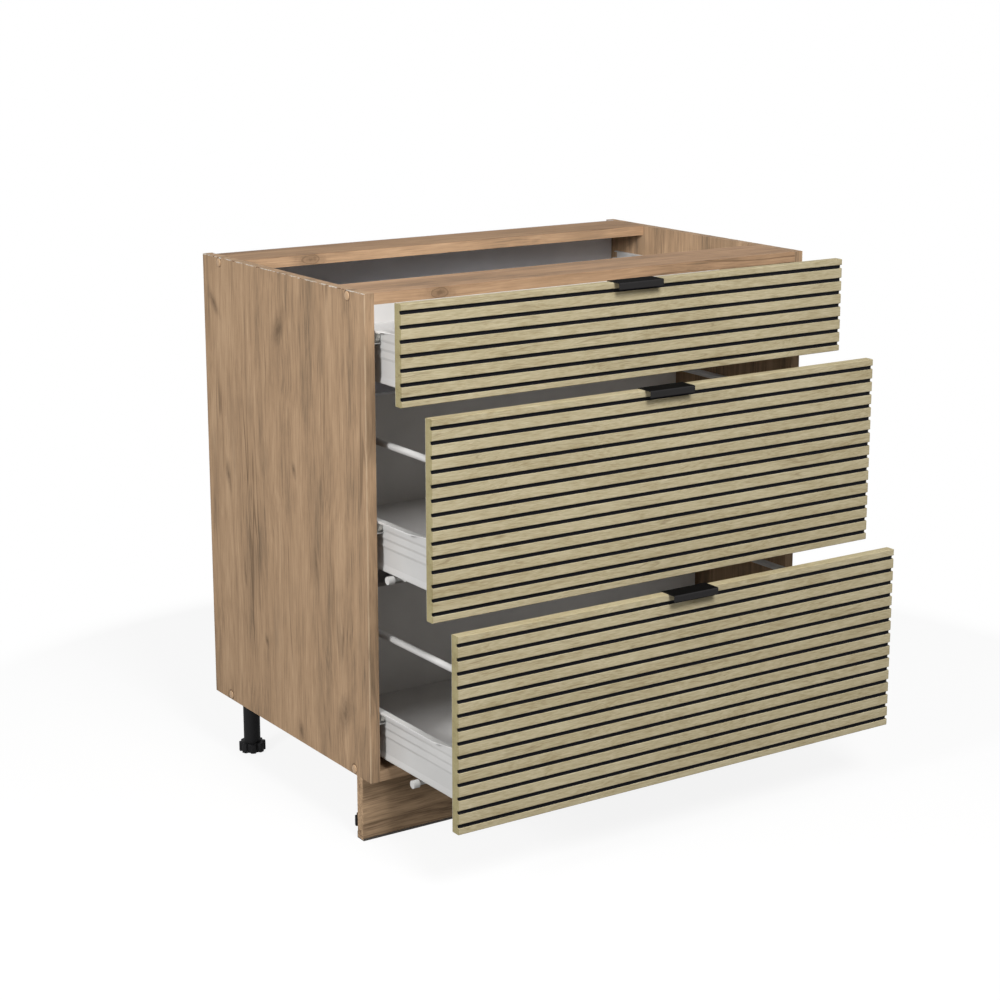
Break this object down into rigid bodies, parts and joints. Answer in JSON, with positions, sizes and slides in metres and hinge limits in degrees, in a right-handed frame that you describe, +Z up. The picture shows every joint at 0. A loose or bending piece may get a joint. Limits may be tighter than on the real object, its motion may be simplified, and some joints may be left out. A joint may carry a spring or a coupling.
{
  "type": "base cabinet with drawers",
  "caption": "Kitchen base cabinet on levelling legs behind a plinth, open under the worktop rails, with slatted drawer fronts on roller runners, shown part open.",
  "frame": {"origin": "on the floor, under the middle of the whole object's box with the drawers drawn out as shown", "axes": "+Z up, +X to the right seen from the front, +Y from the drawer fronts towards the back panel"},
  "size_m": [0.8032, 0.748, 0.82],
  "materials": {
    "oak_board": "matt decor chipboard with a dark oak print, grain upright on the sides",
    "slatted_front": "matt light oak decor with dark milled grooves",
    "grey_board": "matt pale grey laminate",
    "back_board": "thin hardboard, painted grey on the inside",
    "white_steel": "white powder coat, satin",
    "white_plastic": "moulded white plastic",
    "roller_plastic": "moulded nylon, off-white",
    "black_metal": "matt black coat",
    "black_plastic": "moulded black plastic",
    "seal_plastic": "soft dark edge strip",
    "cap_plastic": "push-in plastic cover, wood brown"
  },
  "bodies": {
    "carcass": {"back_panel": "back_board", "bottom_panel": "oak_board", "front_rail": "oak_board", "legs": "black_plastic", "plinth_clips": "black_plastic", "plinth_panel": "oak_board", "plinth_seal": "seal_plastic", "rear_rail": "oak_board", "runner_bottom_left": "white_steel", "runner_bottom_right": "white_steel", "runner_middle_left": "white_steel", "runner_middle_right": "white_steel", "runner_top_left": "white_steel", "runner_top_right": "white_steel", "screw_caps": "cap_plastic", "side_panel_left": "oak_board", "side_panel_right": "oak_board"},
    "drawer_bottom": {"bottom_pegs_bottom": "white_plastic", "drawer_back_bottom": "grey_board", "drawer_bottom_bottom": "grey_board", "drawer_side_bottom_left": "white_steel", "drawer_side_bottom_right": "white_steel", "front_bottom": "slatted_front", "front_brackets_bottom": "white_steel", "handle_bottom": "black_metal", "railing_holders_bottom": "white_plastic", "railings_bottom": "white_steel"},
    "drawer_middle": {"bottom_pegs_middle": "white_plastic", "drawer_back_middle": "grey_board", "drawer_bottom_middle": "grey_board", "drawer_side_middle_left": "white_steel", "drawer_side_middle_right": "white_steel", "front_brackets_middle": "white_steel", "front_middle": "slatted_front", "handle_middle": "black_metal", "railing_holders_middle": "white_plastic", "railings_middle": "white_steel"},
    "drawer_top": {"drawer_back_top": "grey_board", "drawer_bottom_top": "grey_board", "drawer_side_top_left": "white_steel", "drawer_side_top_right": "white_steel", "front_brackets_top": "white_steel", "front_top": "slatted_front", "handle_top": "black_metal"},
    "drawer_rollers_bottom": {"drawer_rollers_bottom": "roller_plastic"},
    "drawer_rollers_middle": {"drawer_rollers_middle": "roller_plastic"},
    "drawer_rollers_top": {"drawer_rollers_top": "roller_plastic"},
    "foot_front_left": {"foot_front_left": "black_plastic"},
    "foot_front_right": {"foot_front_right": "black_plastic"},
    "foot_rear_left": {"foot_rear_left": "black_plastic"},
    "foot_rear_right": {"foot_rear_right": "black_plastic"},
    "runner_rollers_bottom": {"runner_rollers_bottom": "roller_plastic"},
    "runner_rollers_middle": {"runner_rollers_middle": "roller_plastic"},
    "runner_rollers_top": {"runner_rollers_top": "roller_plastic"}
  },
  "joints": [
    {"name": "drawer_top_slide", "type": "slide", "parent": "carcass", "child": "drawer_top", "axis": [0, -1, 0], "range_m": [-0.076, 0.264]},
    {"name": "runner_rollers_top_spin", "type": "hinge", "parent": "carcass", "child": "runner_rollers_top", "pos_m": [0, -0.116, 0.7575], "axis": [1, 0, 0], "range_deg": [-1600, 1950]},
    {"name": "drawer_rollers_top_spin", "type": "hinge", "parent": "drawer_top", "child": "drawer_rollers_top", "pos_m": [0, 0.254, 0.7575], "axis": [1, 0, 0], "range_deg": [-1600, 1950]},
    {"name": "drawer_middle_slide", "type": "slide", "parent": "carcass", "child": "drawer_middle", "axis": [0, -1, 0], "range_m": [-0.153, 0.187]},
    {"name": "runner_rollers_middle_spin", "type": "hinge", "parent": "carcass", "child": "runner_rollers_middle", "pos_m": [0, -0.116, 0.4835], "axis": [1, 0, 0], "range_deg": [-1600, 1950]},
    {"name": "drawer_rollers_middle_spin", "type": "hinge", "parent": "drawer_middle", "child": "drawer_rollers_middle", "pos_m": [0, 0.177, 0.4835], "axis": [1, 0, 0], "range_deg": [-1600, 1950]},
    {"name": "drawer_bottom_slide", "type": "slide", "parent": "carcass", "child": "drawer_bottom", "axis": [0, -1, 0], "range_m": [-0.216, 0.124]},
    {"name": "runner_rollers_bottom_spin", "type": "hinge", "parent": "carcass", "child": "runner_rollers_bottom", "pos_m": [0, -0.116, 0.1965], "axis": [1, 0, 0], "range_deg": [-1600, 1950]},
    {"name": "drawer_rollers_bottom_spin", "type": "hinge", "parent": "drawer_bottom", "child": "drawer_rollers_bottom", "pos_m": [0, 0.114, 0.1965], "axis": [1, 0, 0], "range_deg": [-1600, 1950]},
    {"name": "foot_front_left_level", "type": "slide", "parent": "carcass", "child": "foot_front_left", "axis": [0, 0, -1], "range_m": [0, 0.02]},
    {"name": "foot_front_right_level", "type": "slide", "parent": "carcass", "child": "foot_front_right", "axis": [0, 0, -1], "range_m": [0, 0.02]},
    {"name": "foot_rear_left_level", "type": "slide", "parent": "carcass", "child": "foot_rear_left", "axis": [0, 0, -1], "range_m": [0, 0.02]},
    {"name": "foot_rear_right_level", "type": "slide", "parent": "carcass", "child": "foot_rear_right", "axis": [0, 0, -1], "range_m": [0, 0.02]}
  ],
  "couplings": [
    {"joint": "runner_rollers_top_spin", "follows": "drawer_top_slide", "rad_per_m": 125},
    {"joint": "drawer_rollers_top_spin", "follows": "drawer_top_slide", "rad_per_m": 125},
    {"joint": "runner_rollers_middle_spin", "follows": "drawer_middle_slide", "rad_per_m": 125},
    {"joint": "drawer_rollers_middle_spin", "follows": "drawer_middle_slide", "rad_per_m": 125},
    {"joint": "runner_rollers_bottom_spin", "follows": "drawer_bottom_slide", "rad_per_m": 125},
    {"joint": "drawer_rollers_bottom_spin", "follows": "drawer_bottom_slide", "rad_per_m": 125}
  ]
}
